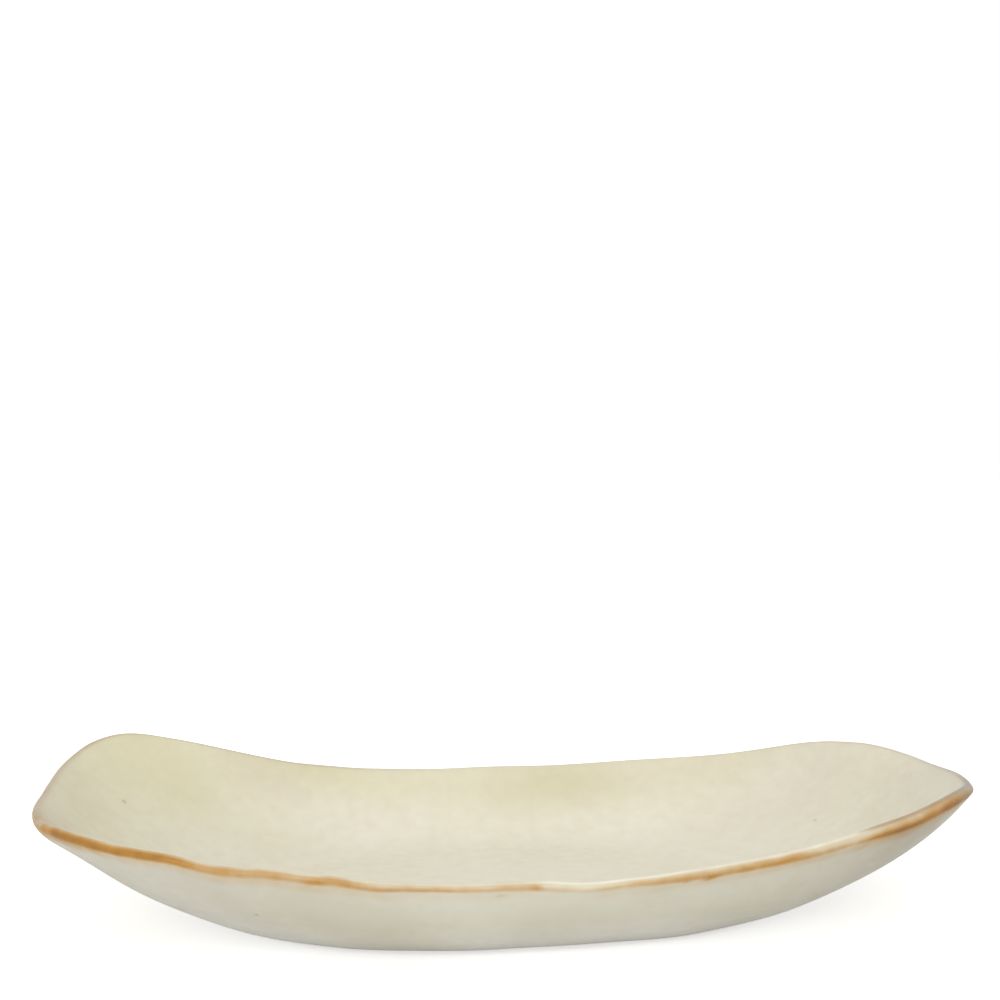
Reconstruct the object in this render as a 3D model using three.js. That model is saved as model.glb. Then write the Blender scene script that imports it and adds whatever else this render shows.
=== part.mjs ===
// Rectangular stoneware serving dish: a hand-formed clay slab with a bare flat foot, flaring walls
// and a wavy rim, coated with cream glaze inside and out and with a tan glaze over the lip.
// Millimetres: +X runs along the dish, +Y across it to the far side and +Z up.
// The origin is on the table under the middle of the foot.
import * as THREE from 'three';

// Plan of the rim and of the foot: rounded rectangles, squarer as the squareness grows (2 is an oval)
const LENGTH = 349;
const WIDTH = 184;
const RIM_SQUARENESS = 3.1;
const FOOT_LENGTH = 166;
const FOOT_WIDTH = 102;
const FOOT_SQUARENESS = 2.5;

// Height of the rim above the table: low along the sides, swept up to the ends
const SIDE_HEIGHT = 30.5;
const END_HEIGHT = 45.5;
const WALL_FLARE = 1.85;

// Each corner is lifted by hand: how far, how many degrees it is turned from the dish's end,
// and how many degrees it spreads
const CORNERS = [
  { side: 'far', end: 'right', lift: 1.7, turn: 37, spread: 20 },
  { side: 'far', end: 'left', lift: 12, turn: 39.5, spread: 32 },
  { side: 'near', end: 'left', lift: 3.4, turn: 50, spread: 36 },
  { side: 'near', end: 'right', lift: 4.8, turn: 40, spread: 47 },
];

// Clay, which tapers from the floor to the lip
const FLOOR_THICKNESS = 5;
const LIP_THICKNESS = 2.4;
const LIP_DEPTH = 1.7;
const LIP_SQUARENESS = 2.6;

// Coats: their thickness, the gap left between solids, and where each one ends
const GLAZE_THICKNESS = 0.5;
const COAT_GAP = 0.1;
const BARE_FOOT_HEIGHT = 1.6;
const BAND_BELOW_LIP = 3;
const BAND_INSIDE_LIP = 1;

// Facets around the dish and along its section
const COLUMNS = 64;
const FOOT_STEPS = 2;
const WALL_STEPS = 6;
const LIP_STEPS = 6;

// A small change of angle or rise, for reading slopes off the wall
const NUDGE = 1e-4;

// Signed power that keeps the sign of a sine or cosine
function signedPower(value, power) {
  return Math.sign(value) * Math.abs(value) ** power;
}

// Point on a rounded rectangle in the direction of an angle
function planPoint(angle, length, width, squareness) {
  const along = Math.cos(angle);
  const across = Math.sin(angle);
  const reach = (Math.abs(along) ** squareness + Math.abs(across) ** squareness) ** (-1 / squareness);
  return new THREE.Vector2((length / 2) * along * reach, (width / 2) * across * reach);
}

function rimPlan(angle) {
  return planPoint(angle, LENGTH, WIDTH, RIM_SQUARENESS);
}

function footPlan(angle) {
  return planPoint(angle, FOOT_LENGTH, FOOT_WIDTH, FOOT_SQUARENESS);
}

// Lift that one corner adds at an angle: a smooth hump that falls to nothing at its spread
function cornerLift(corner, angle) {
  const turn = THREE.MathUtils.degToRad(corner.turn);
  const fromEnd = corner.end === 'right' ? turn : Math.PI - turn;
  const centre = corner.side === 'far' ? fromEnd : -fromEnd;
  const away = Math.acos(THREE.MathUtils.clamp(Math.cos(angle - centre), -1, 1));
  const share = Math.min(away / THREE.MathUtils.degToRad(corner.spread), 1);
  return corner.lift * (0.5 + 0.5 * Math.cos(Math.PI * share));
}

// Height of the rim: the square of the distance along the dish sweeps it up, and each corner adds its lift
function rimHeight(angle) {
  const share = rimPlan(angle).x / (LENGTH / 2);
  const swept = SIDE_HEIGHT + (END_HEIGHT - SIDE_HEIGHT) * share ** 2;
  return CORNERS.reduce((height, corner) => height + cornerLift(corner, angle), swept);
}

// Point on the outside of the wall; rise runs from 0 at the foot's edge to 1 at the rim
function wallPoint(angle, rise) {
  const plan = footPlan(angle).lerp(rimPlan(angle), rise);
  return new THREE.Vector3(plan.x, plan.y, rimHeight(angle) * rise ** WALL_FLARE);
}

// Wall point with its direction up the wall, its direction into the clay, and the rise for each millimetre
function wallFrame(angle, rise) {
  const below = Math.max(rise - NUDGE, 0);
  const above = rise + NUDGE;
  const upward = wallPoint(angle, above).sub(wallPoint(angle, below));
  const around = wallPoint(angle + NUDGE, rise).sub(wallPoint(angle - NUDGE, rise));
  const risePerMillimetre = (above - below) / upward.length();
  upward.normalize();
  const inward = upward.clone().cross(around).normalize();
  return { point: wallPoint(angle, rise), upward, inward, risePerMillimetre };
}

// Rise at a distance below the place where the lip's rounding starts
function riseBelowLip(angle, distance) {
  return 1 - (LIP_DEPTH + distance) * wallFrame(angle, 1).risePerMillimetre;
}

// Rise at which the wall is a given height above the table
function riseAtHeight(angle, height) {
  return (height / rimHeight(angle)) ** (1 / WALL_FLARE);
}

// Thickness of the clay at a rise
function clayThickness(rise) {
  return THREE.MathUtils.lerp(FLOOR_THICKNESS, LIP_THICKNESS, rise);
}

// One ring of points around the dish
function ring(pointAt) {
  return Array.from({ length: COLUMNS }, (_, column) => pointAt((2 * Math.PI * column) / COLUMNS));
}

function flatRing(share, height) {
  return ring((angle) => {
    const plan = footPlan(angle).multiplyScalar(share);
    return new THREE.Vector3(plan.x, plan.y, height);
  });
}

function outsideRing(riseAt) {
  return ring((angle) => wallPoint(angle, riseAt(angle)));
}

function insideRing(riseAt) {
  return ring((angle) => {
    const rise = riseAt(angle);
    const { point, inward } = wallFrame(angle, rise);
    return point.addScaledVector(inward, clayThickness(rise));
  });
}

// Ring on the lip, a squared half round over the wall's end; the sweep runs from 0 outside to pi inside
function lipRing(sweep) {
  const through = (1 - signedPower(Math.cos(sweep), 2 / LIP_SQUARENESS)) / 2;
  const over = LIP_DEPTH * signedPower(Math.sin(sweep), 2 / LIP_SQUARENESS);
  return ring((angle) => {
    const rise = riseBelowLip(angle, 0);
    const { point, upward, inward } = wallFrame(angle, rise);
    return point.addScaledVector(inward, through * clayThickness(rise)).addScaledVector(upward, over);
  });
}

// Rings between two rises, both included
function wallRings(makeRing, startRise, endRise, steps) {
  return Array.from({ length: steps + 1 }, (_, step) =>
    makeRing((angle) => THREE.MathUtils.lerp(startRise(angle), endRise(angle), step / steps)),
  );
}

// Closed surface through rings; it ends in two poles, or joins its last ring to its first.
// Strips that run back along the section split their facets the other way, so that both skins
// of a coat match the clay.
function closedSurface(rings, poles = [], runsBack = () => false) {
  const points = [...rings.flat(), ...poles];
  const index = [];
  const at = (row, column) => (row % rings.length) * COLUMNS + (column % COLUMNS);
  const rows = poles.length ? rings.length - 1 : rings.length;
  for (let row = 0; row < rows; row += 1) {
    for (let column = 0; column < COLUMNS; column += 1) {
      const [low, nextLow] = [at(row, column), at(row, column + 1)];
      const [high, nextHigh] = [at(row + 1, column), at(row + 1, column + 1)];
      if (runsBack(row)) {
        index.push(low, nextLow, high, nextLow, nextHigh, high);
      } else {
        index.push(low, nextLow, nextHigh, low, nextHigh, high);
      }
    }
  }
  if (poles.length) {
    const first = rings.length * COLUMNS;
    for (let column = 0; column < COLUMNS; column += 1) {
      index.push(first, at(0, column + 1), at(0, column));
      index.push(first + 1, at(rings.length - 1, column), at(rings.length - 1, column + 1));
    }
  }
  const geometry = new THREE.BufferGeometry().setFromPoints(points);
  geometry.setIndex(index);
  geometry.computeVertexNormals();
  return geometry;
}

// Section of the clay, from the middle of the foot, up the outside, over the lip
// and down to the middle of the well
const bareFootRise = (angle) => riseAtHeight(angle, BARE_FOOT_HEIGHT);
const outerCoatRise = (angle) => riseBelowLip(angle, BAND_BELOW_LIP + COAT_GAP);
const bandRise = (angle) => riseBelowLip(angle, BAND_BELOW_LIP);
const lipRise = (angle) => riseBelowLip(angle, 0);
const bandEndRise = (angle) => riseBelowLip(angle, BAND_INSIDE_LIP);
const innerCoatRise = (angle) => riseBelowLip(angle, BAND_INSIDE_LIP + COAT_GAP);
const footRise = () => 0;

const shares = Array.from({ length: FOOT_STEPS }, (_, step) => (step + 1) / FOOT_STEPS);
const sweeps = Array.from({ length: LIP_STEPS + 1 }, (_, step) => (Math.PI * step) / LIP_STEPS);
const footRings = shares.map((share) => flatRing(share, 0));
const outerRings = wallRings(outsideRing, bareFootRise, outerCoatRise, WALL_STEPS);
const bandRings = [outsideRing(bandRise), ...sweeps.map(lipRing), insideRing(bandEndRise)];
const innerRings = wallRings(insideRing, innerCoatRise, footRise, WALL_STEPS);
const floorRings = shares.slice(0, -1).reverse().map((share) => flatRing(share, FLOOR_THICKNESS));

const bodyRings = [...footRings, ...outerRings, ...bandRings, ...innerRings, ...floorRings];
const footMiddle = new THREE.Vector3(0, 0, 0);
const floorMiddle = new THREE.Vector3(0, 0, FLOOR_THICKNESS);
const bodyGeometry = closedSurface(bodyRings, [footMiddle, floorMiddle]);

// Rings of the clay from one place in the section to another, moved out of the clay along its own normals
function coatSkin(start, count, distance) {
  const position = bodyGeometry.getAttribute('position');
  const normal = bodyGeometry.getAttribute('normal');
  return Array.from({ length: count }, (_, row) =>
    Array.from({ length: COLUMNS }, (_, column) => {
      const vertex = (start + row) * COLUMNS + column;
      const point = new THREE.Vector3().fromBufferAttribute(position, vertex);
      return point.addScaledVector(new THREE.Vector3().fromBufferAttribute(normal, vertex), distance);
    }),
  );
}

const backFace = COAT_GAP;
const outFace = COAT_GAP + GLAZE_THICKNESS;
const outerStart = footRings.length;
const bandStart = outerStart + outerRings.length;
const innerStart = bandStart + bandRings.length;

// A coat that goes round the dish as a belt: up its outside, then back along the clay
function beltCoat(start, count) {
  const rings = [...coatSkin(start, count, outFace), ...coatSkin(start, count, backFace).reverse()];
  return closedSurface(rings, [], (row) => row >= count);
}

// The coat that lines the well and closes over its middle: out along the clay, then in over the top
function wellCoat(start, count) {
  const rings = [...coatSkin(start, count, backFace).reverse(), ...coatSkin(start, count, outFace)];
  const poles = [backFace, outFace].map((distance) => floorMiddle.clone().setZ(floorMiddle.z + distance));
  return closedSurface(rings, poles, (row) => row < count);
}

function piece(name, geometry, color, roughness) {
  const mesh = new THREE.Mesh(geometry, new THREE.MeshStandardMaterial({ color, roughness, metalness: 0 }));
  mesh.name = name;
  return mesh;
}

const dish = new THREE.Group();
dish.name = 'rectangular_serving_dish';
dish.add(piece('stoneware_body', bodyGeometry, '#b9a283', 0.85));
dish.add(piece('outer_glaze', beltCoat(outerStart, outerRings.length), '#cdc9b6', 0.45));
dish.add(piece('rim_glaze', beltCoat(bandStart, bandRings.length), '#bd8d50', 0.4));
dish.add(piece('inner_glaze', wellCoat(innerStart, innerRings.length + floorRings.length), '#e3decb', 0.4));

export default dish;
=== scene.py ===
import math

import bpy
import numpy as np
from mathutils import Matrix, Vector


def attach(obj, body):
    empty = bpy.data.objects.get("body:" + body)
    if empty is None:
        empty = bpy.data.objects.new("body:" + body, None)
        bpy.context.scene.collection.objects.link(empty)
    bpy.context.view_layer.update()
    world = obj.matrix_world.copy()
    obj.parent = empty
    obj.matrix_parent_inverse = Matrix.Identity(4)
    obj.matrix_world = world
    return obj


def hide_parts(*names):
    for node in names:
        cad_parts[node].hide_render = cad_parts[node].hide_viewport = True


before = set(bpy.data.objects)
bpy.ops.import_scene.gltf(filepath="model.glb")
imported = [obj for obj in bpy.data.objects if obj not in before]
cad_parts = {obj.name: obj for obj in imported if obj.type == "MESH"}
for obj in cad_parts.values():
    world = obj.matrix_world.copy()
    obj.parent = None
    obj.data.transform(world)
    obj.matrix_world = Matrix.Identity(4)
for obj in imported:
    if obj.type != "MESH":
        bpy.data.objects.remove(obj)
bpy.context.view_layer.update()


# Clay slab
# A sheet of sandy buff stoneware pressed over a mould, so that its floor stays flat and its walls flare.
# Its rim was drawn up by hand at the corners. Glaze covers all of it but the wiped foot.

MILLIMETRE = 0.001

# Sizes in millimetres, with powers for how square an outline is and how the wall flares
RIM_LENGTH = 349
RIM_WIDTH = 184
RIM_SQUARENESS = 3.1
FOOT_LENGTH = 166
FOOT_WIDTH = 102
FOOT_SQUARENESS = 2.5
SIDE_HEIGHT = 30.5
END_HEIGHT = 45.5
WALL_FLARE = 1.85
FLOOR_THICKNESS = 5
LIP_DEPTH = 1.7
LIP_SQUARENESS = 2.6

# Turn from the right-hand end in degrees, spread in degrees, and lift in millimetres
CORNER_LIFTS = ((37, 20, 1.7), (140.5, 32, 12), (230, 36, 3.4), (320, 47, 4.8))

# Low waves that fingers left along the rim, given in the same way
RIM_WAVES = (
    (42, 8, 0.4), (57, 13, -0.8), (88, 10, 0.6), (112, 6, 0.5), (141, 8, 0.6), (156, 8, -0.3),
    (167, 15, 1.3), (188, 14, -0.4), (202, 14, -0.8), (215, 20, 0.3), (235, 20, 0.5), (255, 20, 1.05),
    (275, 20, 1.15), (295, 20, 1.1), (231, 5, 0.4), (237, 5, -0.6), (243, 5, 0.6), (248, 4, 0.4),
    (253, 6, -0.3), (268, 7, 0.5), (276, 6, -0.8), (282, 5, -0.4), (292, 6, 0.2), (306, 12, 0.8),
    (312, 12, 1.0), (320, 10, 0.3), (321, 27, 1.3), (323, 14, 1.5), (338, 14, -0.5), (345, 10, 0.4),
    (354, 20, 0.7))

# Places where the wall bellies out or in between foot and rim: turn and spread in degrees, and change of
# the flare
WALL_BELLIES = (
    (206, 20, -0.05), (226, 20, 0.04), (250, 24, 0.1), (280, 24, -0.02), (290, 20, -0.13), (350, 20, 0.1))

# Corners where the wall droops below its lip: turn and spread in degrees, drop in millimetres, and the
# power of the rise that it follows
WALL_DROOPS = ((322, 20, 2.8, 6), (206, 7, 1.2, 24))

# Corners where the rim stands out of its plan or in: turn and spread in degrees, and share of its reach
RIM_BULGES = ((330, 20, 0.003), (204, 14, -0.003))

# Turn in degrees and thickness in millimetres of the clay at the lip
LIP_THICKNESSES = (
    (0, 2.7), (90, 2.3), (180, 2.3), (205, 2.2), (240, 2.2), (275, 2.5), (303, 2.7), (318, 3.1))

# Waves of the pressed slab: their tallest swell, then each wave's lengths along and across, and its phase
SLAB_SWELL = 0.45
SLAB_WAVES = ((96, 70, 0.4), (61, -88, 2.1), (-47, 59, 4.4), (38, 110, 5.2))


def rounded_rectangle(angle, length, width, squareness):
    """Plan point in the direction of an angle: the direction, stretched by length and width, is divided by
    the root of the sum of its two shares, each raised to the squareness."""
    along = np.cos(angle)
    across = np.sin(angle)
    reach = (np.abs(along) ** squareness + np.abs(across) ** squareness) ** (-1 / squareness)
    return np.stack([length / 2 * along * reach, width / 2 * across * reach], -1)


def hump(angle, turn, spread):
    """Half a cosine wave that is 1 at the turn and falls to 0 at the spread on either side, in degrees."""
    away = np.abs((np.degrees(angle) - turn + 180) % 360 - 180)
    return 0.5 + 0.5 * np.cos(np.pi * np.minimum(away / spread, 1))


def along_rim(angle, stations):
    """Value at each angle on straight lines between stations of turn in degrees and value."""
    turns, values = np.array(stations).T
    return np.interp(np.degrees(angle), turns, values, period=360)


def rim_height(angle):
    """The side height, plus what the ends have over it times the square of the share of the way to an end,
    plus the humps of the corners and the waves."""
    share = rounded_rectangle(angle, 2, 2, RIM_SQUARENESS)[..., 0]
    height = SIDE_HEIGHT + (END_HEIGHT - SIDE_HEIGHT) * share ** 2
    for turn, spread, lift in CORNER_LIFTS + RIM_WAVES:
        height = height + lift * hump(angle, turn, spread)
    return height


def slab_swell(plan, rise):
    """Mean of plane sine waves over the plan, faded out by half a sine at the foot and at the rim."""
    waves = [np.sin(2 * np.pi * (plan[..., 0] / along + plan[..., 1] / across) + phase)
             for along, across, phase in SLAB_WAVES]
    return SLAB_SWELL * np.mean(waves, 0) * np.sin(np.pi * np.clip(rise, 0, 1))


def wall_flare(angle):
    """Power of the rise that the wall's height follows: the flare and its bellies' changes."""
    return WALL_FLARE + sum(change * hump(angle, turn, spread) for turn, spread, change in WALL_BELLIES)


def wall_droop(angle, rise):
    """Drop of the wall below its lip at some corners: a high power of the rise times what is left of the
    rise, scaled so that its deepest place has each droop's depth."""
    drop = np.zeros_like(rise)
    for turn, spread, depth, power in WALL_DROOPS:
        deepest = power / (power + 1)
        share = rise ** power * (1 - rise) / (deepest ** power * (1 - deepest))
        drop = drop + depth * hump(angle, turn, spread) * share
    return drop


def rim_plan(angle):
    """Plan of the rim: a rounded rectangle whose reach is changed by the bulges' shares."""
    bulge = sum(share * hump(angle, turn, spread) for turn, spread, share in RIM_BULGES)
    return rounded_rectangle(angle, RIM_LENGTH, RIM_WIDTH, RIM_SQUARENESS) * (1 + bulge)[..., None]


def wall_point(angle, rise):
    """Outside of the wall: the plan runs straight from foot to rim, and the height is the rim's times the
    rise raised to the flare, plus the slab's swell and less the droop."""
    foot = rounded_rectangle(angle, FOOT_LENGTH, FOOT_WIDTH, FOOT_SQUARENESS)
    plan = foot + (rim_plan(angle) - foot) * rise[..., None]
    height = rim_height(angle) * rise ** wall_flare(angle) + slab_swell(plan, rise) - wall_droop(angle, rise)
    return np.concatenate([plan, np.maximum(height, 0)[..., None]], -1)


def clay_thickness(angle, rise):
    """Thickness of the wall, which tapers evenly from the floor's to the lip's."""
    return FLOOR_THICKNESS + (along_rim(angle, LIP_THICKNESSES) - FLOOR_THICKNESS) * rise


def unit(vectors):
    """Each vector divided by its own length."""
    return vectors / np.linalg.norm(vectors, axis=-1, keepdims=True)


def wall_frame(angle, rise):
    """Wall point, unit direction up the wall, unit direction into the clay, and rise per millimetre, from
    differences over a small nudge."""
    nudge = 1e-4
    below = np.maximum(rise - nudge, 0)
    upward = wall_point(angle, rise + nudge) - wall_point(angle, below)
    around = wall_point(angle + nudge, rise) - wall_point(angle - nudge, rise)
    rise_per_millimetre = (rise + nudge - below) / np.linalg.norm(upward, axis=-1)
    return wall_point(angle, rise), unit(upward), unit(np.cross(upward, around)), rise_per_millimetre


def rise_below_lip(angle, distance):
    """Rise at a distance in millimetres down the wall from where the lip's rounding starts: the whole rise
    less the lip's depth and the distance, both turned into rise as the wall climbs at its top."""
    _, _, _, rise_per_millimetre = wall_frame(angle, np.ones_like(angle))
    return 1 - (LIP_DEPTH + distance) * rise_per_millimetre


def rise_at_height(angle, height):
    """Rise where the wall, without its swell and droop, is a given height above the table: the share of the
    rim's height, with the flare's power undone."""
    return (height / rim_height(angle)) ** (1 / wall_flare(angle))


def even_shares(rows):
    """Evenly spaced shares from 0 to 1, one for each row."""
    return np.linspace(0, 1, rows)


def between(start, end, shares):
    """Rows of values from start to end, one row for each share."""
    return start + (end - start) * shares[:, None]


def outside_rows(angle, rises):
    """Rows of points on the outside of the wall, one row for each row of rises."""
    return wall_point(np.broadcast_to(angle, rises.shape), rises)


def inside_rows(angle, rises):
    """Rows of points on the inside of the wall: the outside's, moved into the clay by its thickness."""
    angles = np.broadcast_to(angle, rises.shape)
    point, _, inward, _ = wall_frame(angles, rises)
    return point + inward * clay_thickness(angles, rises)[..., None]


def lip_rows(angle, sweeps):
    """Squared half round over the wall's end: across the clay it follows a signed power of the cosine of the
    sweep, and over the end a power of its sine."""
    power = 2 / LIP_SQUARENESS
    rise = rise_below_lip(angle, 0)
    point, upward, inward, _ = wall_frame(angle, rise)
    across = (1 - np.sign(np.cos(sweeps)) * np.abs(np.cos(sweeps)) ** power) / 2
    through = across[:, None] * clay_thickness(angle, rise)
    over = LIP_DEPTH * np.abs(np.sin(sweeps)) ** power
    return point + inward * through[..., None] + upward * over[:, None, None]


def flat_rows(angle, shares, height):
    """Rings of the foot's outline, drawn in towards its middle by each share, at one height."""
    plan = rounded_rectangle(angle, FOOT_LENGTH, FOOT_WIDTH, FOOT_SQUARENESS) * shares[:, None, None]
    return np.concatenate([plan, np.full(plan.shape[:2] + (1,), height)], -1)


def ring_quads(rings, columns, joined):
    """Quads between neighbouring rings of one column count. Joined closes the last ring on the first."""
    ring = np.arange(rings if joined else rings - 1)[:, None]
    column = np.arange(columns)[None, :]
    upper = (ring + 1) % rings
    beside = (column + 1) % columns
    here = ring * columns
    above = upper * columns
    return np.stack([here + column, here + beside, above + beside, above + column], -1).reshape(-1, 4)


def pole_fans(rings, columns):
    """Triangles from the first ring to one pole and from the last ring to the other."""
    column = np.arange(columns)
    beside = (column + 1) % columns
    last = (rings - 1) * columns
    first_pole = np.full(columns, rings * columns)
    lower = np.stack([first_pole, beside, column], -1)
    upper = np.stack([first_pole + 1, last + column, last + beside], -1)
    return np.concatenate([lower, upper])


def surface_piece(name, rings, poles, normals, values):
    """Closed mesh through rings in millimetres, with its own point normals and named point values. It closes
    in two poles, or where there are none, on its own first ring."""
    count, columns = rings.shape[:2]
    points = rings.reshape(-1, 3)
    faces = ring_quads(count, columns, poles is None).tolist()
    if poles is not None:
        points = np.concatenate([points, poles])
        faces += pole_fans(count, columns).tolist()
    mesh = bpy.data.meshes.new(name)
    mesh.from_pydata(points * MILLIMETRE, [], faces)
    mesh.polygons.foreach_set("use_smooth", np.ones(len(faces), bool))
    for value_name, value in values.items():
        attribute = mesh.attributes.new(value_name, "FLOAT", "POINT")
        attribute.data.foreach_set("value", value.astype(np.float32).ravel())
    if normals is not None:
        mesh.normals_split_custom_set_from_vertices(normals.reshape(-1, 3))
    mesh.update()
    piece = bpy.data.objects.new(name, mesh)
    bpy.context.scene.collection.objects.link(piece)
    return piece


CLAY_COLUMNS = 240
CLAY_WALL_ROWS = 32
CLAY_LIP_ROWS = 18
CLAY_RING_SHARES = np.array([0.3, 0.6, 0.9])

clay_angle = np.linspace(0, 2 * np.pi, CLAY_COLUMNS, endpoint=False)
clay_foot_edge = np.zeros(CLAY_COLUMNS)
clay_lip_start = rise_below_lip(clay_angle, 0)
clay_wall_shares = even_shares(CLAY_WALL_ROWS)
clay_rings = np.concatenate([
    flat_rows(clay_angle, CLAY_RING_SHARES, 0),
    outside_rows(clay_angle, between(clay_foot_edge, clay_lip_start, clay_wall_shares)),
    lip_rows(clay_angle, np.linspace(0, np.pi, CLAY_LIP_ROWS)[1:-1]),
    inside_rows(clay_angle, between(clay_lip_start, clay_foot_edge, clay_wall_shares)),
    flat_rows(clay_angle, CLAY_RING_SHARES[::-1], FLOOR_THICKNESS),
])
clay_poles = np.array([[0, 0, 0], [0, 0, FLOOR_THICKNESS]])
clay_body = surface_piece("stoneware_body", clay_rings, clay_poles, None, {})


def place_node(tree, kind, inputs=None, **settings):
    """Adds a node, sets its own settings, then sets or links each of its inputs by name or number."""
    made = tree.nodes.new(kind)
    for name, value in settings.items():
        setattr(made, name, value)
    for name, value in (inputs or {}).items():
        if isinstance(value, bpy.types.NodeSocket):
            tree.links.new(value, made.inputs[name])
        else:
            made.inputs[name].default_value = value
    return made


def place_noise(tree, place, scale, detail):
    """Soft noise over a place, with about as many lumps to the metre as its scale."""
    noise = place_node(tree, "ShaderNodeTexNoise", {"Vector": place, "Scale": scale, "Detail": detail})
    return noise.outputs["Fac"]


def place_mix(tree, factor, first, second):
    """Mix of two colours by a factor. The numbers are those of the node's factor and colour sockets."""
    mix = place_node(tree, "ShaderNodeMix", {0: factor, 6: first, 7: second}, data_type="RGBA")
    return mix.outputs[2]


def place_bump(tree, height, strength, depth):
    """Normal of a bump whose height runs over a depth in millimetres."""
    inputs = {"Height": height, "Strength": strength, "Distance": depth * MILLIMETRE}
    return place_node(tree, "ShaderNodeBump", inputs).outputs["Normal"]


def colour(red, green, blue):
    """Linear colour of a screen colour from 0 to 255: the usual screen curve undone."""
    screen = np.array([red, green, blue]) / 255
    linear = np.where(screen <= 0.04045, screen / 12.92, ((screen + 0.055) / 1.055) ** 2.4)
    return (*linear.tolist(), 1.0)


def new_material(name):
    """Empty material with its surface shader and output joined up."""
    material = bpy.data.materials.new(name)
    material.use_nodes = True
    tree = material.node_tree
    tree.nodes.clear()
    shader = place_node(tree, "ShaderNodeBsdfPrincipled")
    place_node(tree, "ShaderNodeOutputMaterial", {"Surface": shader.outputs["BSDF"]})
    return material, tree, shader


CLAY_DARK = colour(172, 146, 114)
CLAY_PALE = colour(201, 178, 146)
CLAY_PATCH_SCALE = 40
CLAY_PATCH_DETAIL = 3
CLAY_GRAIN_SCALE = 900
CLAY_GRAIN_DETAIL = 4
CLAY_GRAIN_STRENGTH = 0.35
CLAY_GRAIN_DEPTH = 0.3
CLAY_ROUGHNESS = 0.85

clay_material, clay_tree, clay_shader = new_material("bare buff clay")
clay_place = place_node(clay_tree, "ShaderNodeTexCoord").outputs["Object"]
clay_grain = place_noise(clay_tree, clay_place, CLAY_GRAIN_SCALE, CLAY_GRAIN_DETAIL)
clay_patch = place_noise(clay_tree, clay_place, CLAY_PATCH_SCALE, CLAY_PATCH_DETAIL)
clay_tone = place_mix(clay_tree, clay_patch, CLAY_DARK, CLAY_PALE)
clay_normal = place_bump(clay_tree, clay_grain, CLAY_GRAIN_STRENGTH, CLAY_GRAIN_DEPTH)
clay_tree.links.new(clay_tone, clay_shader.inputs["Base Color"])
clay_tree.links.new(clay_normal, clay_shader.inputs["Normal"])
clay_shader.inputs["Roughness"].default_value = CLAY_ROUGHNESS
clay_body.data.materials.append(clay_material)
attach(clay_body, "root")
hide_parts("stoneware_body")


# Outer glaze
# A thin cream coat poured over the outside wall. It ends in a rounded roll just above the wiped foot,
# and runs up into the tan band below the lip.

GLAZE_THICKNESS = 0.5
COAT_GAP = 0.1
BARE_FOOT_HEIGHT = 1.6
GLAZE_ROLL = 1.4
ROLL_START = 0.02
BAND_BELOW_LIP = 3
BAND_INSIDE_LIP = 1

# All three coats are cut from one grid, whose rows run from the glaze's edge above the foot up the outside,
# over the lip and down the inside to the middle of the floor
COAT_COLUMNS = 720
OUTER_ROWS = 48
BAND_ROWS = 10
LIP_ROWS = 32
INSIDE_BAND_ROWS = 5
INNER_ROWS = 58
FLOOR_ROWS = 10

coat_angle = np.linspace(0, 2 * np.pi, COAT_COLUMNS, endpoint=False)
glaze_edge = rise_at_height(coat_angle, BARE_FOOT_HEIGHT)
band_start = rise_below_lip(coat_angle, BAND_BELOW_LIP)
lip_start = rise_below_lip(coat_angle, 0)
band_end = rise_below_lip(coat_angle, BAND_INSIDE_LIP)
floor_edge = np.zeros(COAT_COLUMNS)
glaze_base = np.concatenate([
    outside_rows(coat_angle, between(glaze_edge, band_start, even_shares(OUTER_ROWS))),
    outside_rows(coat_angle, between(band_start, lip_start, even_shares(BAND_ROWS))[1:-1]),
    lip_rows(coat_angle, np.linspace(0, np.pi, LIP_ROWS)),
    inside_rows(coat_angle, between(lip_start, band_end, even_shares(INSIDE_BAND_ROWS))[1:-1]),
    inside_rows(coat_angle, between(band_end, floor_edge, even_shares(INNER_ROWS))),
    flat_rows(coat_angle, np.linspace(1, 0, FLOOR_ROWS + 1)[1:-1], FLOOR_THICKNESS),
])
rim_first = OUTER_ROWS - 1
lip_first = rim_first + BAND_ROWS - 1
lip_crest = lip_first + LIP_ROWS // 2
inner_first = lip_first + LIP_ROWS + INSIDE_BAND_ROWS - 2
floor_first = inner_first + INNER_ROWS


def grid_normals(rings):
    """Unit normals of a ring grid: the cross product of the step around and the step along the section."""
    around = np.roll(rings, -1, 1) - np.roll(rings, 1, 1)
    onward = np.concatenate([rings[1:2] - rings[:1], rings[2:] - rings[:-2], rings[-1:] - rings[-2:-1]])
    return unit(np.cross(around, onward))


# The coat's depth starts as a quarter round at its edge, a little way in so that the edge stays blunt. The
# distance over the lip is counted from the crest, downwards on the outside
base_normals = grid_normals(glaze_base)
steps = np.linalg.norm(np.diff(glaze_base, axis=0), axis=-1)
section_length = np.concatenate([np.zeros((1, COAT_COLUMNS)), np.cumsum(steps, 0)])
lip_distance = section_length[lip_crest] - section_length
roll = np.clip(section_length / GLAZE_ROLL, ROLL_START, 1)
glaze_depth = COAT_GAP + GLAZE_THICKNESS * np.sqrt(1 - (1 - roll) ** 2)
glaze_rings = glaze_base + base_normals * glaze_depth[..., None]
glaze_back = glaze_base + base_normals * COAT_GAP
glaze_normals = grid_normals(glaze_rings)
glaze_normals[floor_first:] = (0, 0, 1)

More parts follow.
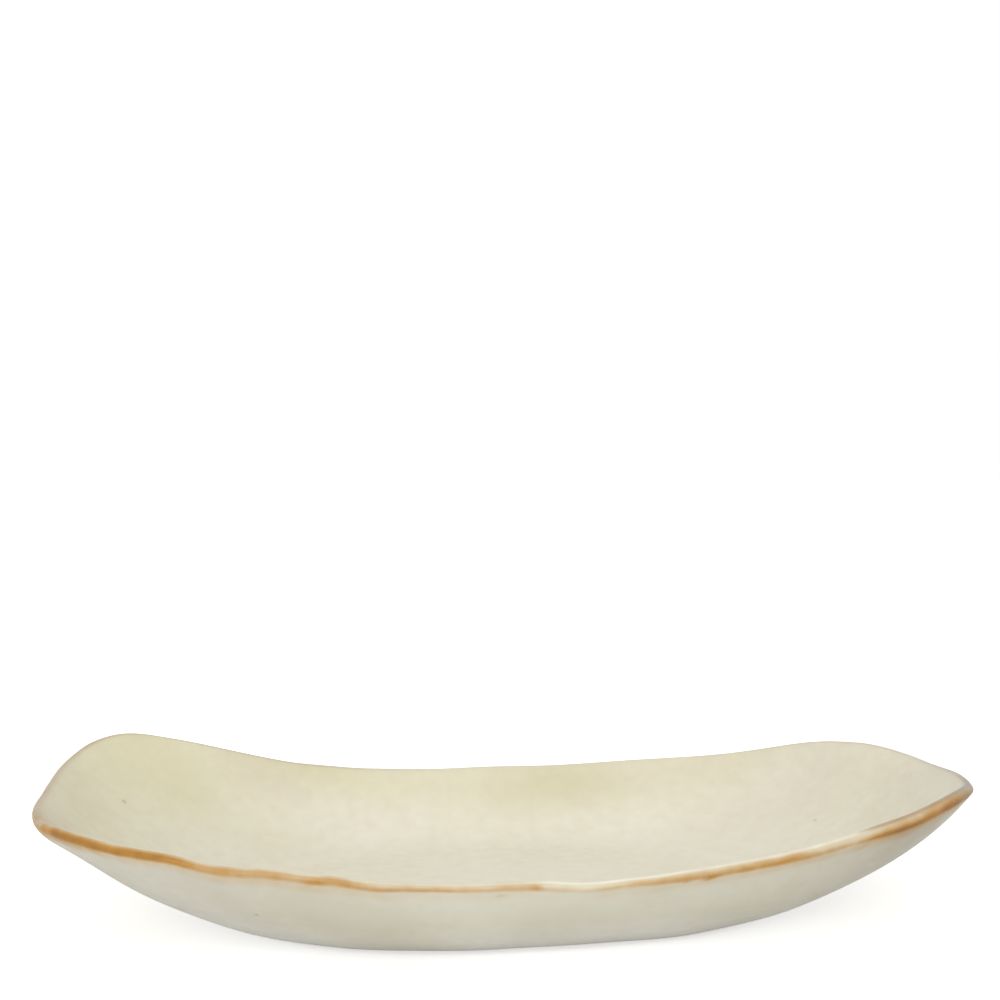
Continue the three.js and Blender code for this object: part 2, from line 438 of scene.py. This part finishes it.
# Tan line along the outer edge of the lip, which runs down onto this coat. Each station is a turn in degrees
# and a value: the line's strength, then its middle and its half width in millimetres over the lip from the
# crest
LINE_STRENGTHS = (
    (0, 0.25), (20, 0.1), (60, 0), (136, 0), (150, 0.14), (175, 0.15), (195, 0.14), (203, 0.18), (206, 0.3),
    (209, 0.36), (212, 0.56), (215, 0.78), (218, 0.84), (220.5, 0.7), (223, 0.78), (226, 0.84), (231, 0.82),
    (233, 0.76), (235, 0.44), (240, 0.38), (242, 0.44), (245, 0.4), (247, 0.68), (249, 0.45), (251, 0.5),
    (253, 0.42), (255, 0.5), (257, 0.43), (260, 0.34), (263, 0.25), (266, 0.27), (268, 0.29), (270, 0.35),
    (272, 0.27), (277, 0.29), (279, 0.29), (281, 0.41), (283, 0.5), (287, 0.45), (289, 0.59), (293, 0.57),
    (296, 0.54), (298, 0.42), (300, 0.34), (303, 0.3), (304.5, 0.22), (306.5, 0.55), (309, 0.92),
    (311, 1.08), (314, 1.0), (317, 0.98), (320, 1.15), (325, 1.2), (329, 0.8), (333, 0.45), (345, 0.25))
LINE_PLACES = (
    (0, 1.2), (150, 0), (190, 0.3), (205, 0.8), (211, 0.9), (218, 0.65), (226, 1.0), (232, 0.75),
    (240, 1.05), (244, 1.1), (246, 1.5), (248, 1.1), (252, 1.6), (255, 1.4), (260, 1.3), (264, 1.2),
    (270, 1.5), (276, 1.6), (282, 1.2), (289, 1.9), (294, 1.5), (300, 1.9), (303, 2.0), (306, 2.4),
    (309, 3.0), (312, 3.2), (316, 3.05), (320, 2.65), (325, 2.4), (330, 2.0), (345, 1.2))
LINE_WIDTHS = (
    (0, 1.2), (150, 1.2), (190, 1.3), (211, 1.35), (220, 1.25), (226, 1.3), (232, 1.15), (237, 1.35),
    (248, 1.2), (252, 1.0), (255, 0.65), (259, 0.55), (263, 0.62), (268, 0.8), (271, 0.8), (276, 0.7),
    (282, 0.9), (289, 1.25), (294, 1.2), (300, 1.2), (304, 1.1), (307, 1.3), (312, 1.6), (316, 1.55),
    (324, 1.4), (330, 1.1))

# Ripples that make the line ragged: height in millimetres, number round the rim, and phase
LINE_RIPPLES = ((0.08, 37, 1), (0.06, 61, 2.3), (0.05, 103, 4))

# Strength of the soft tan that runs down below the line, its middle and half width below the line's middle,
# and how many times the line's raggedness it adds
TAN_STRENGTHS = (
    (190, 0), (200, 0.1), (204, 0.3), (210, 0.42), (216, 0.45), (223, 0.25), (240, 0.25), (248, 0.2),
    (258, 0.08), (275, 0.07), (289, 0.2), (297, 0.26), (304, 0.22), (308, 0.4), (314, 0.5), (320, 0.35),
    (330, 0.2), (340, 0))
TAN_DROP = 2.6
TAN_WIDTH = 3
TAN_RAGGEDNESS = 3

# Strength of the soft tan halo over the crest of the lip, and its half width
HALO_STRENGTHS = (
    (10, 0), (136, 0), (150, 0.1), (170, 0.13), (195, 0.12), (204, 0.08), (213, 0.14), (222, 0.12),
    (232, 0.06), (247, 0.09), (253, 0.13), (268, 0.15), (272, 0.02), (284, 0), (288, 0.05), (300, 0.06),
    (305, 0.1), (309, 0.2), (314, 0.3), (320, 0.34), (330, 0.32), (345, 0.08))
HALO_WIDTH = 1.5

# Drips below the line: turn in degrees, distance over the lip and half width in millimetres, and strength
DRIPS = ((265.7, 3.8, 0.8, 0.2), (269.5, 1.2, 0.8, 0.14), (286, 3.0, 0.8, 0.22), (288.5, 3.2, 1.2, 0.35))

# Grey line on the thin inner edge of the lip: its strength, middle and half width, and the
# share of its strength that the iron gains there
EDGE_GREY = (
    (0, 0.12), (10, 0.12), (25, 0.14), (40, 0.14), (55, 0.05), (95, 0.05), (108, 0.15), (114, 0.2),
    (126, 0.12), (140, 0.22), (150, 0.24), (160, 0.14), (180, 0.1), (195, 0), (304.5, 0), (307, 0.6),
    (318, 0.55), (324, 0.42), (335, 0.42), (345, 0.2))
EDGE_PLACES = ((0, -1.4), (90, -1.2), (290, -0.5), (318, -0.5), (330, -0.9), (345, -1.4))
EDGE_GREY_WIDTH = 0.65
EDGE_IRON = 0.5

# Smoke all over the lip: its strength, and its half width from the crest
LIP_SMOKE = (
    (10, 0.12), (30, 0.08), (60, 0.08), (108, 0.15), (118, 0.15), (130, 0.08), (150, 0.15), (195, 0.28),
    (204, 0.24), (209, 0), (252, 0), (256, 0.12), (260, 0), (318, 0), (321, 0.15), (324, 0.5), (328, 0.7),
    (336, 0.6), (345, 0.3), (355, 0.2))
LIP_SMOKE_WIDTH = 2.5

# Patches of painted shade on the outside wall, deepest on the near right-hand end that faces away from the
# light, and where they start and fade in below the lip
OUTER_SHADE = (
    (140, -76, 28, 16, 0.6), (152, -66, 14, 12, 0.2), (-118, -82, 48, 25, 0.23), (90, -88, 45, 16, 0.08))
SHADE_BELOW_LIP = 4.4
SHADE_FADE = 2

# Painted light: the outside's pale tint near the foot stands in for light bounced up from the table, and the
# tint deepens up towards the rim. Patches make it paler in three places and deeper in one. Its tint deepens
# between two heights, from a share at the foot by a gain
OUTER_TINT_PATCHES = (
    (-104, -55, 34, 17, 0.5), (120, -52, 34, 18, 0.4), (-45, -62, 26, 16, -0.3), (40, -80, 50, 30, 0.16))
BOUNCE_LOW = 2
BOUNCE_HIGH = 17
DEEP_AT_FOOT = 0.15
DEEP_GAIN = 0.7


def bell(value, middle, width):
    """Bell curve that is 1 at its middle: e to the power of minus the squared share of the width."""
    return np.exp(-((value - middle) / width) ** 2)


def patches(places):
    """Sum of soft patches over the plan: middle and spread along and across in millimetres, and strength."""
    total = np.zeros_like(lip_distance)
    for middle_x, middle_y, spread_x, spread_y, strength in places:
        along = bell(glaze_base[..., 0], middle_x, spread_x)
        total = total + strength * along * bell(glaze_base[..., 1], middle_y, spread_y)
    return total


ragged = sum(height * np.sin(number * coat_angle + phase) for height, number, phase in LINE_RIPPLES)
line_place = along_rim(coat_angle, LINE_PLACES) + ragged
line_width = along_rim(coat_angle, LINE_WIDTHS)
tan_place = line_place + TAN_DROP + TAN_RAGGEDNESS * ragged
iron = along_rim(coat_angle, LINE_STRENGTHS) * bell(lip_distance, line_place, line_width)
iron = iron + along_rim(coat_angle, TAN_STRENGTHS) * bell(lip_distance, tan_place, TAN_WIDTH)
iron = iron + along_rim(coat_angle, HALO_STRENGTHS) * bell(lip_distance, 0, HALO_WIDTH)
rim_reach = np.linalg.norm(glaze_base[lip_crest, :, :2], axis=-1)
for turn, distance, width, strength in DRIPS:
    beside = rim_reach * np.radians(np.degrees(coat_angle) - turn)
    iron = iron + strength * bell(lip_distance, distance, width) * bell(beside, 0, width)

edge_place = along_rim(coat_angle, EDGE_PLACES)
edge_grey = along_rim(coat_angle, EDGE_GREY) * bell(lip_distance, edge_place, EDGE_GREY_WIDTH)
iron = iron + EDGE_IRON * edge_grey
smoke_and_shade = edge_grey + along_rim(coat_angle, LIP_SMOKE) * bell(lip_distance, 0, LIP_SMOKE_WIDTH)
inside = np.arange(len(glaze_base))[:, None] >= lip_crest
# Painted shade on the outside wall below the band joins the smoke values
below_band = np.clip((lip_distance - SHADE_BELOW_LIP) / SHADE_FADE, 0, 1)
smoke_and_shade = smoke_and_shade + np.where(inside, 0, patches(OUTER_SHADE) * below_band)
# Painted light: the outside is paler low down, as if lit from the table below, and deeper higher up
height_share = np.clip((glaze_base[..., 2] - BOUNCE_LOW) / (BOUNCE_HIGH - BOUNCE_LOW), 0, 1)
outer_tint_and_bounce = np.clip(DEEP_AT_FOOT + DEEP_GAIN * height_share - patches(OUTER_TINT_PATCHES), 0, 1)


def belt_piece(name, first, last, values):
    """A coat that goes right round: its face from the first row to the last, and its back the other way."""
    face = slice(first, last + 1)
    rings = np.concatenate([glaze_rings[face], glaze_back[face][::-1]])
    normals = np.concatenate([glaze_normals[face], -base_normals[face][::-1]])
    both_sides = {key: np.concatenate([value[face], value[face][::-1]]) for key, value in values.items()}
    return surface_piece(name, rings, None, normals, both_sides)


outer_values = {"iron": iron, "smoke_and_shade": smoke_and_shade, "pool_and_shade": outer_tint_and_bounce}
outer_glaze = belt_piece("outer_glaze", 0, rim_first, outer_values)


def new_group(name, inputs, outputs):
    """Empty shader node group with named sockets, each given with its kind."""
    tree = bpy.data.node_groups.new(name, "ShaderNodeTree")
    for socket, kind in inputs:
        tree.interface.new_socket(socket, in_out="INPUT", socket_type=kind)
    for socket, kind in outputs:
        tree.interface.new_socket(socket, in_out="OUTPUT", socket_type=kind)
    return tree, tree.nodes.new("NodeGroupInput").outputs, tree.nodes.new("NodeGroupOutput").inputs


def place_math(tree, operation, first, second, clamp=False):
    """Sum, product or larger of two values, clamped to 0 and 1 where asked."""
    inputs = {0: first, 1: second}
    return place_node(tree, "ShaderNodeMath", inputs, operation=operation, use_clamp=clamp).outputs[0]


def place_range(tree, value, span, to_low=0.0, to_high=1.0):
    """Value carried from a span to another range and held at its ends."""
    low, high = span
    inputs = {"Value": value, "From Min": low, "From Max": high, "To Min": to_low, "To Max": to_high}
    return place_node(tree, "ShaderNodeMapRange", inputs).outputs["Result"]


# Clouding that all three coats share: slow clouds between two tints, fine mottling, and small iron spots, of
# which only some are kept. The spans are the stretches of each noise or distance that are used
CLOUD_SCALE = 22
CLOUD_DETAIL = 3
CLOUD_SPAN = (0.35, 0.7)
CLOUD_SHARE = 0.3
MOTTLE_SCALE = 180
MOTTLE_DETAIL = 5
MOTTLE_SPAN = (0.3, 0.7)
MOTTLE_SHARE = 0.17
MOTTLE_TINT = colour(198, 186, 154)
SPOT_SCALE = 55
SPOT_SPAN = (0.02, 0.05)
SPOT_KEPT_SPAN = (0.8, 0.82)
SPOT_SHARE = 0.5
SPOT_TINT = colour(150, 126, 88)

# Three larger specks, each a place and a radius in millimetres, and the shares of the radius between which
# they fade
SPECKS = (((-148.9, 33.2, 34.6), 0.95), ((-92.4, -73.9, 20.7), 0.8), ((132.4, 26.5, 20.6), 0.75))
SPECK_CORE = 0.4
SPECK_EDGE = 1.6
SPECK_SHARE = 0.36
SPECK_TINT = colour(128, 112, 82)

cloud_tree, cloud_in, cloud_out = new_group(
    "clouded glaze",
    (("Pale", "NodeSocketColor"), ("Deep", "NodeSocketColor"), ("Pool and shade", "NodeSocketFloat")),
    (("Colour", "NodeSocketColor"), ("Mottle", "NodeSocketFloat")))
cloud_place = place_node(cloud_tree, "ShaderNodeTexCoord").outputs["Object"]
slow_noise = place_noise(cloud_tree, cloud_place, CLOUD_SCALE, CLOUD_DETAIL)
fine_noise = place_noise(cloud_tree, cloud_place, MOTTLE_SCALE, MOTTLE_DETAIL)
slow_share = place_range(cloud_tree, slow_noise, CLOUD_SPAN, 0.0, CLOUD_SHARE)
# The pool value deepens the clouds where glaze pools and where shade is painted, and leaves them pale where
# light is painted
deep_share = place_math(cloud_tree, "ADD", slow_share, cloud_in["Pool and shade"], clamp=True)
clouds = place_mix(cloud_tree, deep_share, cloud_in["Pale"], cloud_in["Deep"])
mottle = place_range(cloud_tree, fine_noise, MOTTLE_SPAN)
mottle_share = place_range(cloud_tree, mottle, (0, 1), MOTTLE_SHARE, 0.0)
mottled = place_mix(cloud_tree, mottle_share, clouds, MOTTLE_TINT)
spots = place_node(cloud_tree, "ShaderNodeTexVoronoi", {"Vector": cloud_place, "Scale": SPOT_SCALE})
spot_near = place_range(cloud_tree, spots.outputs["Distance"], SPOT_SPAN, 1.0, 0.0)
spot_draw = place_node(cloud_tree, "ShaderNodeSeparateColor", {"Color": spots.outputs["Color"]})
spot_kept = place_range(cloud_tree, spot_draw.outputs["Red"], SPOT_KEPT_SPAN, 0.0, SPOT_SHARE)
spot_share = place_math(cloud_tree, "MULTIPLY", spot_near, spot_kept)
specked = place_mix(cloud_tree, spot_share, mottled, SPOT_TINT)
for speck_place, radius in SPECKS:
    centre = tuple(value * MILLIMETRE for value in speck_place)
    away = place_node(cloud_tree, "ShaderNodeVectorMath", {0: cloud_place, 1: centre}, operation="DISTANCE")
    speck_span = (SPECK_CORE * radius * MILLIMETRE, SPECK_EDGE * radius * MILLIMETRE)
    speck_share = place_range(cloud_tree, away.outputs["Value"], speck_span, SPECK_SHARE, 0.0)
    specked = place_mix(cloud_tree, speck_share, specked, SPECK_TINT)
cloud_tree.links.new(specked, cloud_out["Colour"])
cloud_tree.links.new(mottle, cloud_out["Mottle"])

# Iron break that all three coats share: the stain's strength, broken up by two noises, carries the cream
# through tan and ochre to brown, each over its own stretch of strengths, and smoke and painted shade grey it
BREAK_SCALE = 170
BREAK_DETAIL = 4
BREAK_PATCH_SCALE = 70
BREAK_PATCH_DETAIL = 2
BREAK_SPAN = (0.7, 1.3)
BREAK_LEAST = 0.75
BREAK_MOST = 1.25
STAIN_TINTS = (
    ((0.03, 0.35), colour(200, 176, 138)),
    ((0.3, 0.68), colour(180, 130, 48)),
    ((0.7, 1.3), colour(142, 92, 24)))
SMOKE_AND_SHADE_TINT = colour(160, 148, 129)

iron_tree, iron_in, iron_out = new_group(
    "iron break",
    (("Cream", "NodeSocketColor"), ("Stain", "NodeSocketFloat"), ("Smoke and shade", "NodeSocketFloat")),
    (("Colour", "NodeSocketColor"),))
iron_place = place_node(iron_tree, "ShaderNodeTexCoord").outputs["Object"]
break_noise = place_noise(iron_tree, iron_place, BREAK_SCALE, BREAK_DETAIL)
patch_noise = place_noise(iron_tree, iron_place, BREAK_PATCH_SCALE, BREAK_PATCH_DETAIL)
noise_sum = place_math(iron_tree, "ADD", break_noise, patch_noise)
break_level = place_range(iron_tree, noise_sum, BREAK_SPAN, BREAK_LEAST, BREAK_MOST)
broken = place_math(iron_tree, "MULTIPLY", iron_in["Stain"], break_level)
stained = iron_in["Cream"]
for strength_span, tint in STAIN_TINTS:
    stained = place_mix(iron_tree, place_range(iron_tree, broken, strength_span), stained, tint)
smoked = place_mix(iron_tree, iron_in["Smoke and shade"], stained, SMOKE_AND_SHADE_TINT)
iron_tree.links.new(smoked, iron_out["Colour"])

# Roughness at the two ends of the mottling, and the strength and depth in millimetres of the fine bump
ROUGHEST_GLAZE = 0.5
SMOOTHEST_GLAZE = 0.38
PEEL_STRENGTH = 0.15
PEEL_DEPTH = 0.4


def read_value(tree, name):
    """Value that the piece's points carry under a name."""
    return place_node(tree, "ShaderNodeAttribute", attribute_name=name).outputs["Fac"]


def clouded(tree, pale, deep):
    """Clouded glaze in two tints, deep where the piece's pool_and_shade value is high: where the glaze pools
    thick and where shade is painted, and pale where bounce light is painted.
    """
    node = place_node(tree, "ShaderNodeGroup", node_tree=cloud_tree)
    node.inputs["Pale"].default_value = pale
    node.inputs["Deep"].default_value = deep
    tree.links.new(read_value(tree, "pool_and_shade"), node.inputs["Pool and shade"])
    return node.outputs


def finish_glaze(tree, shader, cream, mottle):
    """Joins the stained colour, the mottled gloss and a fine orange-peel bump to the shader."""
    stain = place_node(tree, "ShaderNodeGroup", node_tree=iron_tree)
    tree.links.new(cream, stain.inputs["Cream"])
    tree.links.new(read_value(tree, "iron"), stain.inputs["Stain"])
    tree.links.new(read_value(tree, "smoke_and_shade"), stain.inputs["Smoke and shade"])
    roughness = place_range(tree, mottle, (0, 1), ROUGHEST_GLAZE, SMOOTHEST_GLAZE)
    tree.links.new(stain.outputs["Colour"], shader.inputs["Base Color"])
    tree.links.new(roughness, shader.inputs["Roughness"])
    tree.links.new(place_bump(tree, mottle, PEEL_STRENGTH, PEEL_DEPTH), shader.inputs["Normal"])


# Pale cream near the foot, made paler and cooler as painted light bounced up from the table; deep cream
# higher up
OUTER_BOUNCE_PALE = colour(242, 242, 237)
OUTER_DEEP = colour(209, 205, 187)

outer_material, outer_tree, outer_shader = new_material("outer cream glaze")
outer_cream = clouded(outer_tree, OUTER_BOUNCE_PALE, OUTER_DEEP)
finish_glaze(outer_tree, outer_shader, outer_cream["Colour"], outer_cream["Mottle"])
outer_glaze.data.materials.append(outer_material)
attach(outer_glaze, "root")
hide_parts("outer_glaze")


# Inner glaze
# The same cream glaze, swilled round the well and up to the lip. It is yellower and darker below the far
# rim, partly where it pools thick and partly as painted shade under the lip; painted shade greys its end
# walls, and a tan blush lies near its edge.

# Yellower, darker pools where the glaze lies thick, which also carry painted shade on the end walls and
# under the far lip, then grey painted shade, then tan blush, all as soft patches over the plan
GLAZE_POOLS_AND_SHADE = (
    (-140, 62, 45, 26, 0.8), (-75, 88, 45, 10, 0.9), (32, 84, 42, 10, 0.85), (60, -70, 60, 10, 0.3),
    (-158, 5, 22, 45, 0.7), (125, 80, 40, 14, 0.6), (160, 0, 18, 50, 0.15))
INNER_SHADE = (
    (-174, 0, 22, 60, 0.12), (-167, -34, 11, 18, 0.14), (168, -20, 18, 50, 0.2), (125, 58, 32, 26, 0.14),
    (150, 60, 22, 24, 0.14), (115, 80, 40, 12, 0.08), (45, 84, 50, 12, 0.11), (-95, 82, 30, 12, 0.1))
INNER_TAN = (
    (-166, -36, 12, 18, 0.15), (-170, -20, 18, 40, 0.05), (-168, 38, 14, 28, 0.03), (-95, 76, 26, 16, 0.07))

# Painted shade joins the smoke values inside, and the pools carry painted shade too
smoke_and_shade = smoke_and_shade + np.where(inside, patches(INNER_SHADE), 0)
iron = iron + np.where(inside, patches(INNER_TAN), 0)
pool_and_shade = np.where(inside, patches(GLAZE_POOLS_AND_SHADE), outer_tint_and_bounce)

inner_face = slice(inner_first, None)
inner_rings = np.concatenate([glaze_back[inner_face][::-1], glaze_rings[inner_face]])
inner_underside = FLOOR_THICKNESS + COAT_GAP
inner_poles = np.array([[0, 0, inner_underside], [0, 0, inner_underside + GLAZE_THICKNESS]])
inner_normals = np.concatenate([
    -base_normals[inner_face][::-1].reshape(-1, 3),
    glaze_normals[inner_face].reshape(-1, 3),
    np.array([[0, 0, -1], [0, 0, 1]]),
])
inner_values = {}
for key, value in {"iron": iron, "smoke_and_shade": smoke_and_shade, "pool_and_shade": pool_and_shade}.items():
    both_sides = np.concatenate([value[inner_face][::-1], value[inner_face]])
    inner_values[key] = np.concatenate([both_sides.ravel(), np.zeros(len(inner_poles))])
inner_glaze = surface_piece("inner_glaze", inner_rings, inner_poles, inner_normals, inner_values)

INNER_PALE = colour(233, 228, 210)
INNER_DEEP = colour(219, 213, 181)

inner_material, inner_tree, inner_shader = new_material("inner cream glaze")
inner_cream = clouded(inner_tree, INNER_PALE, INNER_DEEP)
finish_glaze(inner_tree, inner_shader, inner_cream["Colour"], inner_cream["Mottle"])
inner_glaze.data.materials.append(inner_material)
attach(inner_glaze, "root")
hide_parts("inner_glaze")


# Rim glaze
# An iron-stained band brushed over the lip, between the two cream coats. Where it lies thin on the edges it
# breaks to tan and brown, and between them it stays cream.

# Distances over the lip between which the inside's cream passes into the outside's
CREAM_SPAN = (-0.5, 2.5)

rim_values = {"lip_distance": lip_distance, "iron": iron, "smoke_and_shade": smoke_and_shade, "pool_and_shade": pool_and_shade}
rim_glaze = belt_piece("rim_glaze", rim_first, inner_first, rim_values)
rim_material, rim_tree, rim_shader = new_material("tan rim glaze")
rim_inside = clouded(rim_tree, INNER_PALE, INNER_DEEP)
rim_outside = clouded(rim_tree, OUTER_BOUNCE_PALE, OUTER_DEEP)
rim_share = place_range(rim_tree, read_value(rim_tree, "lip_distance"), CREAM_SPAN)
rim_cream = place_mix(rim_tree, rim_share, rim_inside["Colour"], rim_outside["Colour"])
finish_glaze(rim_tree, rim_shader, rim_cream, rim_inside["Mottle"])
rim_glaze.data.materials.append(rim_material)
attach(rim_glaze, "root")
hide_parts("rim_glaze")


# Table
# A plain white table that runs out of sight. The camera sees it a little brighter than it is lit, so that it
# fades into the white background but keeps the dish's shadow.

WHITE = (1, 1, 1, 1)
TABLE_WHITE = (0.9, 0.9, 0.9, 1)
TABLE_REACH = 6.0
TABLE_LIFT = 0.55

table_mesh = bpy.data.meshes.new("table")
table_corners = np.array([[-1, -1, 0], [1, -1, 0], [1, 1, 0], [-1, 1, 0]]) * TABLE_REACH
table_mesh.from_pydata(table_corners, [], [[0, 1, 2, 3]])
table = bpy.data.objects.new("table", table_mesh)
bpy.context.scene.collection.objects.link(table)
table_material, table_tree, table_shader = new_material("white table")
table_shader.inputs["Base Color"].default_value = TABLE_WHITE
table_shader.inputs["Roughness"].default_value = 1
table_shader.inputs["Specular IOR Level"].default_value = 0
table_seen = place_node(table_tree, "ShaderNodeLightPath").outputs["Is Camera Ray"]
table_glow = place_math(table_tree, "MULTIPLY", table_seen, TABLE_LIFT)
table_shader.inputs["Emission Color"].default_value = WHITE
table_tree.links.new(table_glow, table_shader.inputs["Emission Strength"])
table_mesh.materials.append(table_material)


# Studio light
# White walls all round light the dish evenly and show as plain white. One wide soft lamp overhead gives the
# well its gentle shading, and another in front lifts the near wall.

WALL_LIGHT = 0.62
WALL_SEEN = 1.0
OVERHEAD_PLACE = (0, 0.1, 1.4)
OVERHEAD_TARGET = (0, 0, 0)
OVERHEAD_SIZE = (1.4, 1.0)
OVERHEAD_POWER = 5.5
FRONT_PLACE = (-0.4, -1.55, 0.35)
FRONT_TARGET = (0, 0, 0.02)
FRONT_SIZE = (1.8, 0.7)
FRONT_POWER = 12

scene = bpy.context.scene
scene.view_settings.view_transform = "Standard"
world = bpy.data.worlds.new("white studio")
scene.world = world
world.use_nodes = True
wall_tree = world.node_tree
wall_tree.nodes.clear()
wall_ray = place_node(wall_tree, "ShaderNodeLightPath").outputs
seen_or_gloss = place_math(wall_tree, "MAXIMUM", wall_ray["Is Camera Ray"], wall_ray["Is Glossy Ray"])
seen_at_all = place_math(wall_tree, "MAXIMUM", seen_or_gloss, wall_ray["Is Transmission Ray"])
wall_level = place_range(wall_tree, seen_at_all, (0, 1), WALL_LIGHT, WALL_SEEN)
walls = place_node(wall_tree, "ShaderNodeBackground", {"Color": WHITE, "Strength": wall_level})
place_node(wall_tree, "ShaderNodeOutputWorld", {"Surface": walls.outputs["Background"]})


def soft_lamp(name, place, target, size, power):
    """Rectangular area lamp at a place, turned to face a target."""
    data = bpy.data.lights.new(name, "AREA")
    data.shape = "RECTANGLE"
    data.size, data.size_y = size
    data.energy = power
    lamp = bpy.data.objects.new(name, data)
    lamp.location = place
    lamp.rotation_euler = (Vector(target) - Vector(place)).to_track_quat("-Z", "Y").to_euler()
    scene.collection.objects.link(lamp)


soft_lamp("overhead softbox", OVERHEAD_PLACE, OVERHEAD_TARGET, OVERHEAD_SIZE, OVERHEAD_POWER)
soft_lamp("front fill", FRONT_PLACE, FRONT_TARGET, FRONT_SIZE, FRONT_POWER)


# Camera
# It stands low in front of the dish and a little to its left, and looks slightly down over the near rim.
# Its place is in metres, its turns are in degrees, and its lens and sensor are in millimetres.

CAMERA_PLACE = (-0.0704, -0.5744, 0.1769)
CAMERA_DOWN = 2.15
CAMERA_TURN = 6.75
CAMERA_LENS = 54.3
CAMERA_SENSOR = 36

camera_data = bpy.data.cameras.new("camera")
camera_data.sensor_width = CAMERA_SENSOR
camera_data.lens = CAMERA_LENS
camera = bpy.data.objects.new("camera", camera_data)
camera.location = CAMERA_PLACE
camera.rotation_euler = (math.radians(90 - CAMERA_DOWN), 0, math.radians(-CAMERA_TURN))
scene.collection.objects.link(camera)
scene.camera = camera
